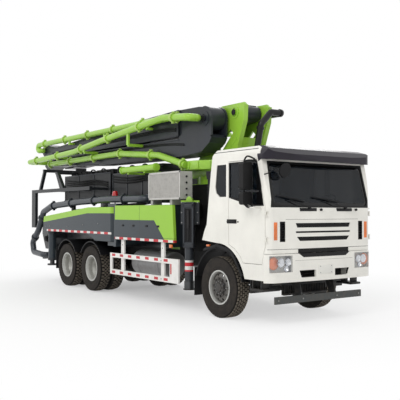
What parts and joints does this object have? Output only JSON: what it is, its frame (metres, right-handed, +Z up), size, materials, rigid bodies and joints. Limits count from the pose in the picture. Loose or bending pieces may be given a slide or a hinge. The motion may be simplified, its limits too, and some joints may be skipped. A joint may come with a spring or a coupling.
{
  "type": "truck-mounted concrete pump",
  "caption": "Three-axle cab-over truck with a roll-and-fold placing boom folded over the deck, green turret and delivery pipes, side outriggers and a rear hopper.",
  "frame": {"origin": "on the ground at the middle of the length and width, as parked", "axes": "+X forward, +Y to the vehicle's left, +Z up"},
  "size_m": [10.6996, 2.9, 3.956],
  "materials": {
    "cab_white": "gloss cream white paint",
    "window_glass": "tinted clear glass",
    "visor_plastic": "dark smoked acrylic",
    "bumper_white": "gloss cream white, dark openings",
    "lamp_lens": "clear and amber lenses",
    "interior_grey": "matt dark grey",
    "trim_black": "matt black",
    "trim_black_metal": "satin black paint",
    "engine_grey": "raw cast",
    "chassis_black": "satin black paint",
    "tank_grey": "brushed",
    "locker_slate": "satin slate paint, green stripe",
    "leg_slate": "satin slate paint",
    "guard_white": "white paint with red dashes",
    "machine_green": "gloss lime green paint",
    "pipe_green": "gloss lime green paint",
    "cooler_alu": "finned",
    "deck_charcoal": "satin charcoal paint",
    "deck_pipe_dark": "satin charcoal paint",
    "boom_charcoal": "satin charcoal paint",
    "cylinder_dark": "satin paint, bright rod",
    "jack_steel": "ground rod, dark foot",
    "tyre_rubber": "matt",
    "rim_steel": "silver paint"
  },
  "bodies": {
    "chassis": {"chassis_frame": "chassis_black", "axles": "chassis_black", "engine": "engine_grey", "cab_shell": "cab_white", "cab_glass": "window_glass", "sun_visor": "visor_plastic", "bumper_and_grille": "bumper_white", "lamps": "lamp_lens", "cab_interior": "interior_grey", "snorkel": "trim_black", "mudguards": "trim_black", "tanks": "tank_grey", "side_lockers": "locker_slate", "side_guards": "guard_white", "pedestal": "machine_green", "oil_cooler": "cooler_alu", "deck_tanks": "deck_charcoal", "deck_pipe": "deck_pipe_dark", "boom_rest": "deck_charcoal", "hopper": "deck_charcoal"},
    "turret": {"turret": "machine_green", "turret_pipe": "trim_black_metal", "lift_cylinder": "cylinder_dark"},
    "boom_1": {"boom_1": "boom_charcoal", "pipe_1": "pipe_green"},
    "boom_2": {"boom_2": "boom_charcoal", "pipes_2": "pipe_green"},
    "boom_3": {"boom_3": "boom_charcoal", "pipe_3": "pipe_green"},
    "boom_4": {"boom_4": "boom_charcoal"},
    "boom_5": {"boom_5": "boom_charcoal"},
    "hopper_grate": {"hopper_grate": "deck_charcoal"},
    "knuckle_right": {"knuckle_right": "chassis_black"},
    "front_wheel_right": {"front_tyre_right": "tyre_rubber", "front_wheel_right": "rim_steel"},
    "mid_wheels_right": {"mid_tyres_right": "tyre_rubber", "mid_wheels_right": "rim_steel"},
    "rear_wheels_right": {"rear_tyres_right": "tyre_rubber", "rear_wheels_right": "rim_steel"},
    "door_right": {"door_right": "cab_white", "door_glass_right": "window_glass"},
    "front_leg_right": {"front_leg_right": "leg_slate"},
    "front_jack_right": {"front_jack_right": "jack_steel"},
    "rear_arm_right": {"rear_arm_right": "leg_slate"},
    "rear_jack_right": {"rear_jack_right": "jack_steel"},
    "knuckle_left": {"knuckle_left": "chassis_black"},
    "front_wheel_left": {"front_tyre_left": "tyre_rubber", "front_wheel_left": "rim_steel"},
    "mid_wheels_left": {"mid_tyres_left": "tyre_rubber", "mid_wheels_left": "rim_steel"},
    "rear_wheels_left": {"rear_tyres_left": "tyre_rubber", "rear_wheels_left": "rim_steel"},
    "door_left": {"door_left": "cab_white", "door_glass_left": "window_glass"},
    "front_leg_left": {"front_leg_left": "leg_slate"},
    "front_jack_left": {"front_jack_left": "jack_steel"},
    "rear_arm_left": {"rear_arm_left": "leg_slate"},
    "rear_jack_left": {"rear_jack_left": "jack_steel"}
  },
  "joints": [
    {"name": "steer_right", "type": "hinge", "parent": "chassis", "child": "knuckle_right", "pos_m": [3.93, -0.83, 0.54], "axis": [0, 0, 1], "range_deg": [-36, 36]},
    {"name": "front_wheel_right_spin", "type": "hinge", "parent": "knuckle_right", "child": "front_wheel_right", "pos_m": [3.93, -1.068, 0.54], "axis": [0, 1, 0], "continuous": true},
    {"name": "mid_wheels_right_spin", "type": "hinge", "parent": "chassis", "child": "mid_wheels_right", "pos_m": [-1.12, -0.9, 0.54], "axis": [0, 1, 0], "continuous": true},
    {"name": "rear_wheels_right_spin", "type": "hinge", "parent": "chassis", "child": "rear_wheels_right", "pos_m": [-2.49, -0.9, 0.54], "axis": [0, 1, 0], "continuous": true},
    {"name": "door_right_hinge", "type": "hinge", "parent": "chassis", "child": "door_right", "pos_m": [5.227, -1.236, 1.8], "axis": [0, 0, 1], "range_deg": [0, 70]},
    {"name": "front_leg_right_slide", "type": "slide", "parent": "chassis", "child": "front_leg_right", "axis": [0.7071, -0.7071, 0], "range_m": [0, 1.4]},
    {"name": "front_jack_right_slide", "type": "slide", "parent": "front_leg_right", "child": "front_jack_right", "axis": [0, 0, -1], "range_m": [0, 0.385]},
    {"name": "rear_arm_right_hinge", "type": "hinge", "parent": "chassis", "child": "rear_arm_right", "pos_m": [-0.19, -1.105, 1.6], "axis": [0, 0, 1], "range_deg": [0, 60]},
    {"name": "rear_jack_right_slide", "type": "slide", "parent": "rear_arm_right", "child": "rear_jack_right", "axis": [0, 0, -1], "range_m": [0, 0.44]},
    {"name": "steer_left", "type": "hinge", "parent": "chassis", "child": "knuckle_left", "pos_m": [3.93, 0.83, 0.54], "axis": [0, 0, 1], "range_deg": [-36, 36]},
    {"name": "front_wheel_left_spin", "type": "hinge", "parent": "knuckle_left", "child": "front_wheel_left", "pos_m": [3.93, 1.068, 0.54], "axis": [0, 1, 0], "continuous": true},
    {"name": "mid_wheels_left_spin", "type": "hinge", "parent": "chassis", "child": "mid_wheels_left", "pos_m": [-1.12, 0.9, 0.54], "axis": [0, 1, 0], "continuous": true},
    {"name": "rear_wheels_left_spin", "type": "hinge", "parent": "chassis", "child": "rear_wheels_left", "pos_m": [-2.49, 0.9, 0.54], "axis": [0, 1, 0], "continuous": true},
    {"name": "door_left_hinge", "type": "hinge", "parent": "chassis", "child": "door_left", "pos_m": [5.227, 1.236, 1.8], "axis": [0, 0, -1], "range_deg": [0, 70]},
    {"name": "front_leg_left_slide", "type": "slide", "parent": "chassis", "child": "front_leg_left", "axis": [0.7071, 0.7071, 0], "range_m": [0, 1.4]},
    {"name": "front_jack_left_slide", "type": "slide", "parent": "front_leg_left", "child": "front_jack_left", "axis": [0, 0, -1], "range_m": [0, 0.385]},
    {"name": "rear_arm_left_hinge", "type": "hinge", "parent": "chassis", "child": "rear_arm_left", "pos_m": [-0.19, 1.105, 1.6], "axis": [0, 0, -1], "range_deg": [0, 60]},
    {"name": "rear_jack_left_slide", "type": "slide", "parent": "rear_arm_left", "child": "rear_jack_left", "axis": [0, 0, -1], "range_m": [0, 0.44]},
    {"name": "slew", "type": "hinge", "parent": "chassis", "child": "turret", "pos_m": [2.43, 0, 2.52], "axis": [0, 0, 1], "range_deg": [-180, 180]},
    {"name": "boom_1_lift", "type": "hinge", "parent": "turret", "child": "boom_1", "pos_m": [3.25, 0, 3.79], "axis": [0, 1, 0], "range_deg": [0, 90]},
    {"name": "boom_2_fold", "type": "hinge", "parent": "boom_1", "child": "boom_2", "pos_m": [-4.82, -0.56, 3.27], "axis": [0, -1, 0], "range_deg": [0, 180]},
    {"name": "boom_3_fold", "type": "hinge", "parent": "boom_2", "child": "boom_3", "pos_m": [2.87, -0.56, 3.68], "axis": [0, 1, 0], "range_deg": [0, 180]},
    {"name": "boom_4_fold", "type": "hinge", "parent": "boom_3", "child": "boom_4", "pos_m": [-5.03, 0.515, 3.63], "axis": [0, -1, 0], "range_deg": [0, 210]},
    {"name": "boom_5_fold", "type": "hinge", "parent": "boom_4", "child": "boom_5", "pos_m": [1.23, 0.515, 3.64], "axis": [0, 1, 0], "range_deg": [0, 180]},
    {"name": "hopper_grate_hinge", "type": "hinge", "parent": "chassis", "child": "hopper_grate", "pos_m": [-4.16, 0, 1.67], "axis": [0, 1, 0], "range_deg": [0, 80]}
  ],
  "couplings": [
    {"joint": "steer_right", "follows": "steer_left", "ratio": 1}
  ]
}
